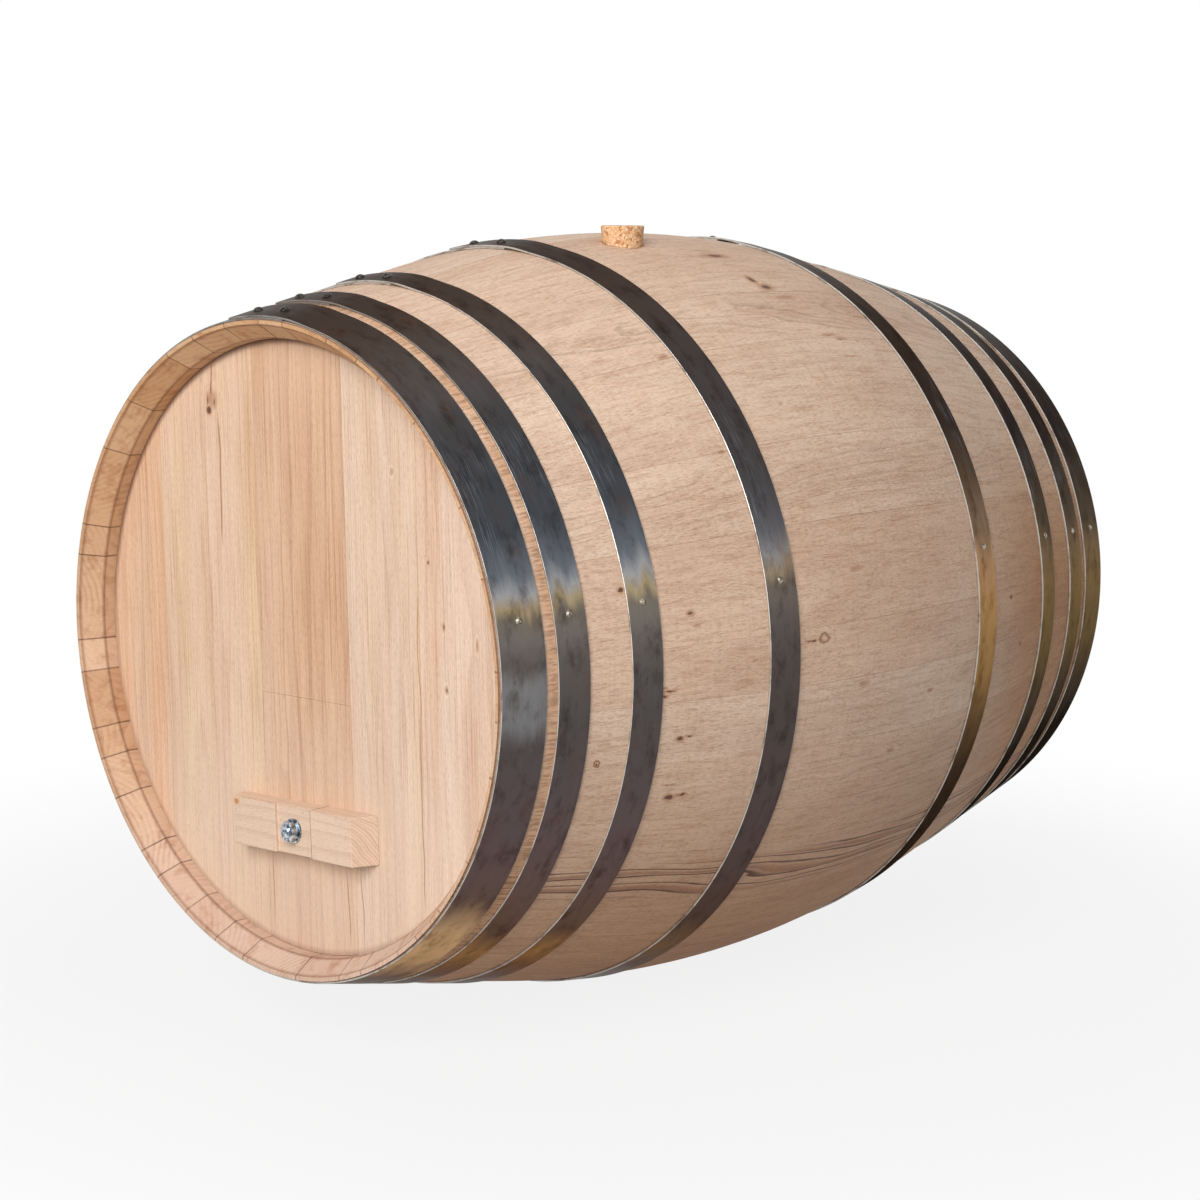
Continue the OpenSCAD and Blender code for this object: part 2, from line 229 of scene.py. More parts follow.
    def bump(self, height, distance, below=None):
        node = self.add("Bump")
        node.inputs["Distance"].default_value = distance
        self.feed(node.inputs["Height"], height)
        if below is not None:
            self.feed(node.inputs["Normal"], below)
        return node.outputs[0]


# Wood: a grain is (across, along, depth) in metres, counted from the pith of the tree

# Half sizes over which a mark shows, and distances from its rim over which a hollow one does
SPOT_REACH = (3.0, 0.0)
HOLLOW_BAND = (0.5, 0.1)


def late_wood(shader, grain, spacing, waviness, first=0.3, swell=0.0):
    """Dark wood at the end of each ring round the pith, 0 to 1. A swell bends the rings round a knot."""
    slow = shader.noise(grain, (9, 1.5, 9), 3.0, 0.55)
    quick = shader.noise(grain, (70, 5, 70), 2.0)
    x, _, z = shader.split(grain)
    square = shader.math("ADD", shader.times(x, x), shader.times(z, z))
    distance = shader.math("MULTIPLY_ADD", slow, waviness, shader.math("SQRT", square))
    distance = shader.math("MULTIPLY_ADD", quick, waviness * 0.1, distance)
    distance = shader.math("ADD", distance, swell)
    ring = shader.math("FRACT", shader.math("DIVIDE", distance, spacing))
    return shader.band(ring, (first, 0.93), (1.0, 0.95))


def fibres(shader, grain):
    """Fine lines along the grain, 0 to 1."""
    return shader.noise(grain, (520, 9, 520), 3.0, 0.62)


def pores(shader, grain):
    """Short thin open pores along the grain, 0 to 1, closer together in places."""
    fine = shader.noise(grain, (1700, 150, 1700), 1.0)
    crowd = shader.noise(grain, (60, 12, 60), 2.0)
    return shader.step(shader.math("MULTIPLY_ADD", crowd, 0.16, fine), 0.60, 0.76)


def spots(shader, where, marks, hollow=False):
    """Marks as (place, half sizes, depth): their depth at the middle, falling to 0 at a few half sizes.

    Of hollow marks, only a band at their half sizes shows.
    """
    share = 0.0
    for place, halves, depth in marks:
        away = shader.vector("DIVIDE", shader.vector("SUBTRACT", where, place), halves)
        away = shader.vector("LENGTH", away)
        if hollow:
            away = shader.math("ABSOLUTE", shader.math("SUBTRACT", away, 1.0))
        near = shader.step(away, *(HOLLOW_BAND if hollow else SPOT_REACH))
        share = shader.math("MAXIMUM", share, shader.times(near, depth))
    return share


def stain(shader, spot):
    """Browns the wood round a knot and darkens its middle."""
    shader.lay(KNOT_HALO, shader.step(spot, 0.25, 0.7), 0.55)
    shader.lay(KNOT_CORE, shader.step(spot, 0.66, 0.84), 0.9)


# Tones of the wood, of 0 to 255
LATE_TINT = (178, 136, 104)
PORE_TINT = (168, 130, 102)
KNOT_HALO = (164, 106, 66)
KNOT_CORE = (80, 46, 28)
KNOT_RIM = (140, 86, 54)

# Marks on the staves as (angle round the axis, y, half length along the grain, half width, depth)
STAVE_MARKS = [
    (2.6, -0.126, 0.014, 0.0011, 0.86),
    (14.1, -0.338, 0.0028, 0.0023, 1.00),
    (-18.8, -0.277, 0.005, 0.0028, 1.00),
    (-18.5, -0.263, 0.010, 0.0013, 0.95),
    (-16.7, -0.281, 0.017, 0.0010, 0.80),
    (-1.9, -0.293, 0.011, 0.0013, 0.98),
    (-2.6, -0.299, 0.007, 0.0014, 0.88),
    (-1.3, -0.300, 0.005, 0.0010, 0.76),
    (-9.3, -0.278, 0.005, 0.0020, 0.90),
    (-9.1, -0.267, 0.010, 0.0010, 0.86),
    (-10.0, -0.276, 0.006, 0.0010, 0.74),
    (9.1, -0.268, 0.0036, 0.0022, 0.84),
    (7.2, -0.262, 0.004, 0.0020, 0.64),
    (-12.3, -0.365, 0.0013, 0.0013, 0.95),
    (-16.3, 0.009, 0.005, 0.0020, 0.72),
    (-8.1, 0.059, 0.004, 0.0020, 0.74),
    (11.8, -0.058, 0.009, 0.0025, 0.62),
    (-4.8, -0.052, 0.007, 0.0025, 0.66),
    (70.8, 0.020, 0.016, 0.0055, 0.85),
    (62.4, 0.016, 0.005, 0.0075, 0.86),
    (60.2, 0.024, 0.009, 0.0055, 0.85),
    (57.0, -0.080, 0.016, 0.0100, 0.42),
    (48.6, 0.046, 0.010, 0.0016, 0.72),
    (47.7, 0.062, 0.008, 0.0014, 0.78),
    (44.3, 0.058, 0.012, 0.0012, 0.70),
    (57.5, 0.036, 0.014, 0.0030, 0.68),
    (48.4, -0.191, 0.006, 0.0025, 0.80),
    (31.4, -0.187, 0.004, 0.0020, 0.74),
    (3.0, 0.220, 0.003, 0.0022, 0.86),
    (-5.5, 0.250, 0.003, 0.0020, 0.80),
    (118.0, 0.060, 0.008, 0.0030, 0.90),
    (150.0, -0.090, 0.009, 0.0030, 0.85),
    (205.0, 0.110, 0.007, 0.0030, 0.92),
    (238.0, -0.250, 0.006, 0.0030, 0.80),
]
# Knots of which only the rim shows, with the same values
STAVE_RINGS = [
    (2.7, -0.110, 0.0062, 0.0042, 0.85),
    (-12.3, -0.365, 0.0032, 0.0032, 1.00),
]
# Where the staves brown between the head hoops and the collar hoops
BROWNED_FROM = 0.409
BROWNED_TO = 0.414
BROWNED_END = 0.427
# Width of the painted shadow on the staves in the gap past the head hoops
LIP_SHADE_WIDTH = 0.003
# Heights between which the staves turn darker and warmer towards the bottom, and places and heights between
# which the rear turns so as painted shade
WARM_LOW, WARM_HIGH = 0.04, 0.36
REAR_SHADE_FROM, REAR_SHADE_TO = 0.10, 0.32
REAR_SHADE_LOW, REAR_SHADE_HIGH = 0.42, 0.66
# Heights between which they brown most
UNDER_LOW, UNDER_HIGH = 0.0, 0.13


def outside_r(y, depth=0.0):
    """Radius of the staves' outside at a place along the axis, or of a surface that lies deeper."""
    bow = BOW_R - depth
    end_y = bow * math.sin(BOW_LEAN)
    if abs(y) < end_y:
        return BELLY_R - BOW_R + math.sqrt(bow * bow - y * y)
    return BELLY_R - BOW_R + bow * math.cos(BOW_LEAN) - (abs(y) - end_y) * math.tan(BOW_LEAN)


def at(radius, angle, y):
    """Point at a radius and an angle round the barrel's axis."""
    return AXIS + Vector((radius * math.cos(angle), y, radius * math.sin(angle)))


def round_axis(point):
    """Radius and angle of a point round the barrel's axis."""
    return math.hypot(point.x, point.z - BELLY_R), math.atan2(point.z - BELLY_R, point.x)


def on_staves(marks):
    """Marks of the staves as (place, half sizes, depth)."""
    return [(at(outside_r(y), math.radians(angle), y), (across, along, across), depth)
            for angle, y, along, across, depth in marks]


def stave_wood():
    """Planed staves: pale, with thin pores, faint rings, plane marks across and a few knots; painted shade
    at the rear and in the gap past the head hoops.
    """
    shader = Shader("stave_wood")
    grain = shader.stored("grain")
    pale, hue, streak = shader.split(shader.stored("character"))
    edge, _, _ = shader.split(shader.stored("edge"))
    _, y, height = shader.split(shader.place())
    shader.colour = shader.mix(hue, srgb(243, 214, 189), srgb(240, 208, 182))
    shader.lay((248, 226, 205), pale, 0.6)
    cloud = shader.step(shader.noise(grain, (15, 4, 15), 4.0, 0.6), 0.35, 0.72)
    shader.tint((230, 219, 213), cloud, 0.65)
    warm = shader.step(shader.noise(grain, (30, 9, 30), 3.0, 0.6), 0.5, 0.8)
    shader.lay((232, 190, 154), warm, 0.3)
    where = shader.ragged(shader.place(), (330, 140, 330), 0.0036)
    spot = spots(shader, where, on_staves(STAVE_MARKS))
    bent = shader.ragged(where, (110, 70, 110), 0.008)
    rim = spots(shader, bent, on_staves(STAVE_RINGS), hollow=True)
    swell = shader.times(spot, 0.016)
    late = late_wood(shader, grain, 0.0095, 0.036, 0.62, swell)
    patch = shader.step(shader.noise(grain, (14, 3.0, 14), 2.0), 0.36, 0.7)
    inner = shader.times(streak, shader.step(edge, 0.010, 0.022))
    strength = shader.math("MULTIPLY_ADD", inner, 0.6, shader.spread(patch, 0.0, 0.10))
    shader.tint(LATE_TINT, shader.times(late, strength))
    vein = shader.times(late_wood(shader, grain, 0.0046, 0.034, 0.68), inner)
    shader.tint((108, 72, 50), vein)
    fibre = fibres(shader, grain)
    shader.tint((204, 184, 166), fibre, 0.36)
    ripple = shader.step(shader.noise(grain, (270, 26, 270), 3.0, 0.6), 0.46, 0.7)
    shader.tint((198, 164, 138), ripple, 0.33)
    pore = pores(shader, grain)
    shader.tint(PORE_TINT, pore, 0.36)
    plane = shader.noise(grain, (26, 330, 26), 2.0, 0.6)
    shader.tint((200, 186, 174), plane, 0.34)
    joint = shader.times(shader.step(edge, 0.0007, 0.0001), shader.spread(patch, 0.06, 0.36))
    shader.tint((140, 104, 80), joint)
    stain(shader, spot)
    shader.lay(KNOT_RIM, rim, 0.85)
    # Painted shade: the rear staves darker and warmer; the low staves darker and warmer towards the bottom
    rear = shader.times(shader.step(y, REAR_SHADE_FROM, REAR_SHADE_TO), shader.step(height, REAR_SHADE_HIGH, REAR_SHADE_LOW))
    warmed = shader.math("MAXIMUM", shader.step(height, WARM_HIGH, WARM_LOW), rear)
    shader.tint((218, 193, 165), warmed)
    under = shader.step(height, UNDER_HIGH, UNDER_LOW)
    shader.tint((222, 196, 168), under)
    along = shader.math("ABSOLUTE", y)
    browned = shader.band(along, (BROWNED_FROM, BROWNED_TO), (BROWNED_END, BROWNED_TO))
    tick = shader.step(shader.noise(grain, (420, 40, 420), 2.0), 0.45, 0.62)
    shader.lay((204, 148, 100), browned, 0.55)
    shader.lay((110, 72, 48), shader.times(browned, tick), 0.5)
    # Painted shadow in the gap between the head hoop and the chime
    lip_shade = shader.step(along, HALF_LEN - LIP_SHADE_WIDTH, HALF_LEN - LIP_SHADE_WIDTH / 2)
    shader.tint((136, 98, 64), lip_shade, 0.75)
    normal = shader.bump(pore, -0.00012, shader.bump(plane, 0.00012))
    return shader.complete(Roughness=shader.spread(fibre, 0.62, 0.8), Normal=normal)


def chime_wood():
    """End grain of the staves: faint rings and rays, dark joints, a painted shadow at the foot of the
    bevel, painted shade at the top and painted light at the bottom.
    """
    shader = Shader("chime_wood")
    grain = shader.stored("grain")
    pale, hue, _ = shader.split(shader.stored("character"))
    edge, _, _ = shader.split(shader.stored("edge"))
    _, y, height = shader.split(shader.place())
    shader.colour = shader.mix(hue, srgb(219, 181, 147), srgb(206, 165, 129))
    shader.lay((229, 202, 177), pale, 0.6)
    # Painted shade: darker and browner towards the top, where the bevel faces down
    shader.tint((251, 243, 224), shader.step(height, 0.30, 0.66))
    # Painted light: paler and pinker towards the bottom, where the bevel faces up
    shader.lay((226, 200, 186), shader.step(height, 0.24, 0.10), 0.55)
    patch = shader.step(shader.noise(grain, (40, 20, 40), 2.0), 0.3, 0.7)
    late = shader.times(late_wood(shader, grain, 0.0046, 0.016), shader.spread(patch, 0.04, 0.3))
    shader.tint((184, 140, 106), late)
    ray = shader.noise(grain, (520, 60, 110), 3.0, 0.65)
    shader.tint((196, 160, 128), ray, 0.4)
    dirt = shader.step(shader.noise(grain, (60, 30, 60), 4.0, 0.65), 0.48, 0.72)
    shader.tint((198, 152, 114), dirt, 0.5)
    joint = shader.step(shader.math("MULTIPLY_ADD", ray, 0.0008, edge), 0.0016, 0.0008)
    joint = shader.times(joint, shader.spread(patch, 0.45, 0.8))
    shader.lay((84, 52, 32), joint)
    along = shader.math("ABSOLUTE", y)
    off_end = shader.math("SUBTRACT", HALF_LEN, along)
    brim = shader.band(off_end, (0.0045, 0.0015), (0.0003, 0.0010))
    shader.tint((150, 104, 70), brim, 0.5)
    # Painted shadow along the foot of the bevel, in the groove by the head
    off_foot = shader.math("ABSOLUTE", shader.math("SUBTRACT", along, HALF_LEN - CHIME_BEVEL))
    foot = shader.step(shader.math("MULTIPLY_ADD", ray, 0.003, off_foot), 0.0042, 0.0016)
    shader.tint((132, 88, 56), foot, 0.55)
    return shader.complete(Roughness=0.78, Normal=shader.bump(ray, 0.0003))


# Front boards as (first colour, second colour, shift of the pith across, its depth behind the face)
HEAD_BOARDS = {
    "front_head_board_1": (srgb(248, 199, 159), srgb(242, 210, 182), 0.42, 0.16),
    "front_head_board_2": (srgb(243, 212, 188), srgb(242, 213, 180), 0.16, 0.05),
    "front_head_board_3": (srgb(230, 195, 167), srgb(235, 201, 170), 0.03, 0.12),
    "front_head_board_4": (srgb(236, 212, 191), srgb(240, 214, 188), -0.21, 0.10),
    "front_head_board_5": (srgb(240, 217, 198), srgb(240, 211, 188), -0.34, 0.22),
}
# Marks on the front head as (x, height above the axis, half width, half length, depth)
HEAD_MARKS = [
    (-0.125, 0.227, 0.0034, 0.0036, 1.00),
    (-0.121, 0.238, 0.0070, 0.0085, 0.70),
    (-0.127, 0.237, 0.0018, 0.0065, 0.82),
    (-0.116, 0.236, 0.0016, 0.0060, 0.82),
    (-0.121, 0.247, 0.0014, 0.0080, 0.82),
    (0.192, 0.099, 0.0014, 0.0020, 0.86),
    (0.211, 0.041, 0.0018, 0.0032, 0.82),
    (0.213, -0.017, 0.0018, 0.0030, 0.84),
    (0.255, 0.028, 0.0014, 0.0050, 0.74),
    (0.145, 0.180, 0.0020, 0.0030, 0.68),
]
# Heights above the axis between which a head pales downwards, and the width of the painted shadow round its
# rim
FOOT_HIGH, FOOT_LOW = 0.02, -0.24
RIM_SHADE_WIDTH = 0.008
# Length over which the end of a crack fades
CRACK_FADE = 0.03
# Cracks and veins in the front head as (x, highest and lowest height above the axis, half width, depth)
HEAD_CRACKS = [
    (0.177, 0.080, -0.240, 0.0010, 0.75),
    (-0.121, 0.300, 0.235, 0.0018, 0.80),
    (-0.111, 0.232, 0.085, 0.0018, 0.85),
    (-0.020, 0.160, -0.180, 0.0016, 0.35),
    (0.052, 0.150, -0.030, 0.0012, 0.55),
    (0.064, -0.200, -0.290, 0.0012, 0.80),
    (-0.048, -0.200, -0.290, 0.0012, 0.65),
    (0.086, -0.190, -0.290, 0.0012, 0.60),
]


def head_wood(name, first, second, shift, depth, front=True):
    """Boards of a head, with upright grain."""
    shader = Shader(name)
    turned = shader.add("Mapping", vector_type="POINT")
    shader.feed(turned.inputs["Vector"], shader.vector("SUBTRACT", shader.place(), AXIS))
    turned.inputs["Rotation"].default_value[1] = HEAD_TURN if front else 0.0
    place = turned.outputs[0]
    x, y, z = shader.split(place)
    grain = shader.join(shader.math("ADD", x, shift), z, shader.math("ADD", y, HEAD_Y + depth))
    hue = shader.step(shader.noise(grain, (34, 1.6, 34), 3.0, 0.6), 0.35, 0.65)
    shader.colour = shader.mix(hue, first, second)
    cloud = shader.step(shader.noise(grain, (22, 2.6, 22), 4.0, 0.6), 0.38, 0.74)
    shader.tint((228, 210, 192), cloud, 0.5)
    where = shader.ragged(place, (260, 260, 110), 0.003)
    marks = [((across, -HEAD_Y, high), (wide, wide, tall), deep)
             for across, high, wide, tall, deep in HEAD_MARKS]
    spot = spots(shader, where, marks) if front else 0.0
    late = late_wood(shader, grain, 0.0085, 0.050, 0.5, shader.times(spot, 0.02))
    patch = shader.step(shader.noise(grain, (20, 1.4, 20), 2.0), 0.3, 0.7)
    late = shader.times(late, shader.spread(patch, 0.05, 0.26))
    shader.tint(LATE_TINT, late)
    fibre = fibres(shader, grain)
    shader.tint((208, 184, 160), fibre, 0.60)
    thread = shader.step(shader.noise(grain, (760, 7, 760), 2.0, 0.6), 0.5, 0.72)
    shader.tint((196, 156, 124), thread, 0.46)
    pore = pores(shader, grain)
    shader.tint(PORE_TINT, pore, 0.16)
    foot = shader.step(z, FOOT_HIGH, FOOT_LOW)
    shader.lay((236, 212, 192), foot, 0.35)
    # Painted shadow that the chime casts round the rim of the head, darkest at the top
    off_axis = shader.vector("LENGTH", shader.join(x, 0.0, z))
    rim = shader.step(off_axis, outside_r(HEAD_Y, STAVE_T) - RIM_SHADE_WIDTH, outside_r(HEAD_Y, STAVE_T))
    rim = shader.times(rim, shader.spread(shader.step(z, -0.05, 0.15), 0.35, 0.85))
    shader.tint((104, 66, 42), rim)
    if front:
        stain(shader, spot)
        bent_x, _, bent_z = shader.split(shader.ragged(place, (14, 14, 9), 0.014))
        for across, top, base, wide, deep in HEAD_CRACKS:
            off = shader.math("ABSOLUTE", shader.math("SUBTRACT", bent_x, across))
            reach = shader.band(bent_z, (top, top - CRACK_FADE), (base, base + CRACK_FADE))
            line = shader.times(shader.step(off, wide, 0.2 * wide), reach)
            shader.lay(KNOT_HALO, line, deep)
    normal = shader.bump(pore, -0.00012, shader.bump(fibre, 0.00014))
    return shader.complete(Roughness=shader.spread(fibre, 0.55, 0.75), Normal=normal)


# Turn of the crossbar, and how far right of its bolt the recess for the nut ends
BAR_TURN = math.radians(2.6)
RECESS_RIGHT = 0.029


def bar_wood():
    """Pale wood with its grain along X, and a painted shade line at the right step of the recess."""
    shader = Shader("bar_wood")
    low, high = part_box("crossbar")
    place = shader.vector("SUBTRACT", shader.place(), low)
    bar_middle = (high.x - low.x) / 2 * math.cos(BAR_TURN) + (high.z - low.z) / 2 * math.sin(BAR_TURN)
    x, y, z = shader.split(place)
    grain = shader.join(shader.math("ADD", z, 0.03), x, shader.math("ADD", y, 0.05))
    cloud = shader.noise(grain, (40, 5, 40), 3.0)
    shader.colour = shader.mix(cloud, srgb(232, 205, 183), srgb(226, 197, 172))
    where = shader.ragged(place, (260, 260, 260), 0.004)
    knot_height = high.z - low.z - 0.013
    spot = spots(shader, where, [((0.018, 0.0, knot_height), (0.003, 0.004, 0.0026), 1.0)])
    swell = shader.times(spot, 0.012)
    late = shader.times(late_wood(shader, grain, 0.0085, 0.045, 0.4, swell), 0.16)
    shader.tint(LATE_TINT, late)
    fibre = fibres(shader, grain)
    shader.tint((208, 184, 160), fibre, 0.25)
    shader.tint(PORE_TINT, pores(shader, grain), 0.25)
    sideways, _, _ = shader.split(shader.add("TexCoord").outputs["Normal"])
    along = shader.math("MULTIPLY_ADD", z, math.sin(BAR_TURN), shader.times(x, math.cos(BAR_TURN)))
    off_middle = shader.math("SUBTRACT", along, bar_middle)
    end = shader.step(shader.math("ABSOLUTE", sideways), 0.6, 0.8)
    end = shader.times(end, shader.step(shader.math("ABSOLUTE", off_middle), 0.07, 0.08))
    rings = shader.times(late_wood(shader, grain, 0.0030, 0.030, 0.4), end)
    shader.tint(LATE_TINT, rings, 0.26)
    # Painted shade: a dark line along the arris at the right of the recess for the nut
    arris = shader.math("SUBTRACT", off_middle, RECESS_RIGHT)
    shade_line = shader.band(arris, (-0.0004, 0.0), (0.0016, 0.0008))
    shader.tint((118, 80, 54), shade_line, 0.85)
    shader.lay((216, 166, 116), shader.step(spot, 0.0, 0.6), 0.5)
    shader.lay((178, 108, 54), shader.step(spot, 0.6, 0.9), 0.8)
    return shader.complete(Roughness=0.66, Normal=shader.bump(fibre, 0.00015))


# Tones of the hoops by the angle up from the barrel's side, in degrees: the dark steel with painted
# reflections and glints, bright just above the nails and gold low on the front hoops
FRONT_REFLECTED_TONES = [
    (-70, (96, 62, 38)),
    (-60, (134, 88, 52)),
    (-53, (170, 126, 80)),
    (-46, (113, 88, 75)),
    (-25, (102, 86, 86)),
    (-5, (88, 82, 81)),
    (8, (102, 96, 92)),
    (12, (102, 95, 85)),
    (14, (152, 136, 106)),
    (16.5, (152, 152, 153)),
    (19.5, (106, 111, 118)),
    (27, (74, 77, 82)),
    (45, (72, 69, 69)),
    (65, (86, 75, 69)),
]
REAR_REFLECTED_TONES = [
    (-60, (80, 62, 52)),
    (-25, (86, 66, 50)),
    (-16, (112, 88, 62)),
    (-8, (160, 126, 82)),
    (3, (182, 142, 94)),
    (9, (170, 134, 100)),
    (14, (118, 98, 80)),
    (22, (96, 80, 66)),
    (32, (66, 57, 52)),
    (65, (66, 56, 51)),
]
# How far from the middle the bilge hoops reach: the front one shows duller painted reflections
# than its neighbours, the rear one brighter ones
BILGE_REACH = 0.20
# Where the head and collar hoops start, and the bands of painted reflection on the front head hoop,
# as (angles over which a band starts, angles over which it ends, tone)
HEAD_HOOP_FROM = 0.42
COLLAR_HOOP_FROM = 0.36
HEAD_HOOP_REFLECTIONS = [
    ((-36, -48), (-68, -56), srgb(242, 198, 148)),
    ((5, 0), (-9, -4), srgb(142, 142, 143)),
]
# Angles between which the rear hoops turn from bright steel to rust
RUST_ANGLES = (-12, -30)
# Heights between which the edges of the two foremost hoops turn dim, as painted shade
DIM_LOW, DIM_HIGH = BELLY_R - 0.02, BELLY_R + 0.12
# Reflection of the steel at a glancing view
GLANCING_TINT = (0.45, 0.43, 0.42, 1.0)


def hoop_steel():
    """Rolled dark steel with painted reflections and glints by its angle round the axis, scratched along
    the strip, rusty under the rear.
    """
    shader = Shader("hoop_steel")
    grain = shader.stored("grain")
    x, y, height = shader.split(shader.place())
    rise = shader.math("ARCTAN2", shader.math("SUBTRACT", height, BELLY_R), shader.math("ABSOLUTE", x))
    angle = shader.math("DEGREES", rise)
    patch = shader.noise(grain, (5, 42, 1), 3.0, 0.6)
    angle = shader.math("ADD", angle, shader.spread(patch, -5, 5))
    # Painted reflections: the tone of the steel by its angle round the axis
    front = shader.ramp(angle, FRONT_REFLECTED_TONES)
    # Duller painted reflections on the front bilge hoop, darker ones on the rear hoops beyond the bilge
    dull = shader.math("GREATER_THAN", y, -BILGE_REACH)
    front = shader.mix(shader.spread(dull, 0, 0.5), front, srgb(80, 70, 66))
    # Bands of painted reflection on the front head hoop
    head = shader.times(shader.math("LESS_THAN", y, -HEAD_HOOP_FROM), shader.spread(patch, 0.4, 1.0))
    for top, foot, tone in HEAD_HOOP_REFLECTIONS:
        front = shader.mix(shader.times(shader.band(angle, top, foot), head), front, tone)
    back = shader.ramp(angle, REAR_REFLECTED_TONES)
    beyond = shader.math("GREATER_THAN", y, BILGE_REACH)
    back = shader.mix(beyond, back, srgb(196, 210, 220), "MULTIPLY")
    rear = shader.math("GREATER_THAN", y, 0.0)
    shader.colour = shader.mix(rear, front, back)
    rust = shader.step(shader.noise(grain, (22, 40, 1), 3.0, 0.6), 0.52, 0.72)
    shader.lay((98, 70, 58), rust, 0.3)
    cloud = shader.noise(grain, (34, 60, 1), 4.0, 0.65)
    shader.tint((196, 190, 188), shader.step(cloud, 0.45, 0.75))
    line = shader.noise(grain, (5, 1500, 1), 2.0, 0.6)
    shader.tint((150, 150, 150), line, 0.5)
    # Light scratches along the strip, shown only at the angles where they catch the light: real scratches
    # with a painted highlight
    scratch = shader.step(shader.noise(grain, (28, 1100, 1), 2.0, 0.6), 0.52, 0.68)
    rubbed = shader.step(shader.noise(grain, (9, 30, 1), 2.0), 0.42, 0.62)
    shine = shader.band(angle, (14, 24), (46, 34))
    scratch = shader.times(shader.times(scratch, rubbed), shine)
    shader.lay((132, 140, 150), scratch, 0.5)
    rough = shader.math("ADD", shader.spread(line, 0.26, 0.38), shader.spread(cloud, -0.06, 0.10))
    dent = shader.noise(grain, (13, 26, 1), 2.0)
    normal = shader.bump(line, 0.00002, shader.bump(dent, 0.0014))
    rusty = shader.times(shader.step(angle, *RUST_ANGLES), rear)
    return shader.complete(Metallic=shader.spread(rusty, 1.0, 0.0), Roughness=rough,
                           Specular_IOR_Level=0.0, Specular_Tint=GLANCING_TINT, Normal=normal)


def hoop_edge():
    """Bright cut edge of the strip, with painted shade on the upper edges of the two foremost hoops."""
    shader = Shader("hoop_edge")
    grain = shader.stored("grain")
    wear = shader.step(shader.noise(grain, (40, 60, 60), 4.0, 0.65), 0.45, 0.72)
    shader.colour = shader.mix(wear, srgb(194, 188, 180), srgb(116, 104, 92))
    _, y, height = shader.split(shader.place())
    foremost = shader.math("LESS_THAN", y, -COLLAR_HOOP_FROM)
    # Painted shade: the upper edges of the two foremost hoops dimmed
    painted_shade_top = shader.times(foremost, shader.step(height, DIM_LOW, DIM_HIGH))
    shader.lay((92, 84, 78), painted_shade_top, 0.6)
    return shader.complete(Metallic=0.5, Roughness=shader.spread(wear, 0.36, 0.55))


def fastener_steel(name, dark, bright):
    """Steel of rivets and nails, rubbed bright here and there."""
    shader = Shader(name)
    wear = shader.noise(shader.place(), (420, 420, 420), 3.0, 0.6)
    shader.colour = shader.mix(shader.step(wear, 0.4, 0.65), dark, bright)
    return shader.complete(Metallic=1.0, Roughness=shader.spread(wear, 0.3, 0.5),
                           Normal=shader.bump(wear, 0.0002))


def zinc_steel():
    """Zinc plate with a blue passivation, cloudy."""
    shader = Shader("zinc_steel")
    cloud = shader.noise(shader.place(), (210, 210, 210), 3.0, 0.6)
    shader.colour = shader.mix(shader.step(cloud, 0.36, 0.64), srgb(94, 108, 122), srgb(212, 217, 222))
    return shader.complete(Metallic=1.0, Roughness=shader.spread(cloud, 0.14, 0.32),
                           Normal=shader.bump(cloud, 0.00006))


# Granules of cork a metre, the gaps between them and the pits in them
CORK_GRAINS = 330
GAP_WIDTH, GAP_DEPTH = 0.25, 0.00035
PIT_SCALE, PIT_FROM, PIT_DEPTH = 420, 0.35, 0.0009


def cork():
    """Granules of cork pressed together, each with its own tone, and dark gaps between them."""
    shader = Shader("cork")
    place = shader.ragged(shader.place(), (300, 300, 300), 0.0025)
    cells = shader.add("TexVoronoi")
    gaps = shader.add("TexVoronoi", feature="DISTANCE_TO_EDGE")
    for node in (cells, gaps):
        shader.feed(node.inputs["Vector"], place)
        node.inputs["Scale"].default_value = CORK_GRAINS
    tone, other, _ = shader.split(cells.outputs["Color"])
    shader.colour = shader.mix(tone, srgb(244, 186, 134), srgb(251, 216, 174))
    shader.lay((206, 142, 92), shader.step(other, 0.86, 0.92))
    gap = shader.step(gaps.outputs["Distance"], 0.10, 0.0)
    shader.lay((160, 104, 64), gap, 0.4)
    return shader.complete(Roughness=0.88, Normal=shader.bump(gap, -0.0003))


# Pieces


def piece(name, vertices, faces, materials, face_materials, sharp=math.radians(28)):
    """Closed mesh with outward faces, smooth but for its sharp edges."""
    mesh = bpy.data.meshes.new(name)
    mesh.from_pydata(vertices, [], faces)
    for material in materials:
        mesh.materials.append(material)
    mesh.polygons.foreach_set("material_index", face_materials)
    shape = bmesh.new()
    shape.from_mesh(mesh)
    bmesh.ops.recalc_face_normals(shape, faces=shape.faces)
    shape.to_mesh(mesh)
    shape.free()
    mesh.shade_smooth()
    mesh.set_sharp_from_angle(angle=sharp)
    made = bpy.data.objects.new(name, mesh)
    bpy.context.scene.collection.objects.link(made)
    return made


def stands_for(made, body, node):
    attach(made, body)
    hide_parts(node)


def store(mesh, name, vectors):
    """Keeps a vector for each point of a mesh, for its material."""
    attribute = mesh.attributes.new(name, "FLOAT_VECTOR", "POINT")
    attribute.data.foreach_set("vector", [number for vector in vectors for number in vector])


def loft(outlines):
    """Points and faces of a solid through closed outlines of as many points each."""
    size = len(outlines[0])
    vertices = [point for outline in outlines for point in outline]
    faces = []
    for first in range(0, size * (len(outlines) - 1), size):
        for k in range(size):
            after = (k + 1) % size
            faces.append((first + k, first + after, first + size + after, first + size + k))
    faces.append(tuple(range(size)))
    faces.append(tuple(range(size * (len(outlines) - 1), size * len(outlines))))
    return vertices, faces


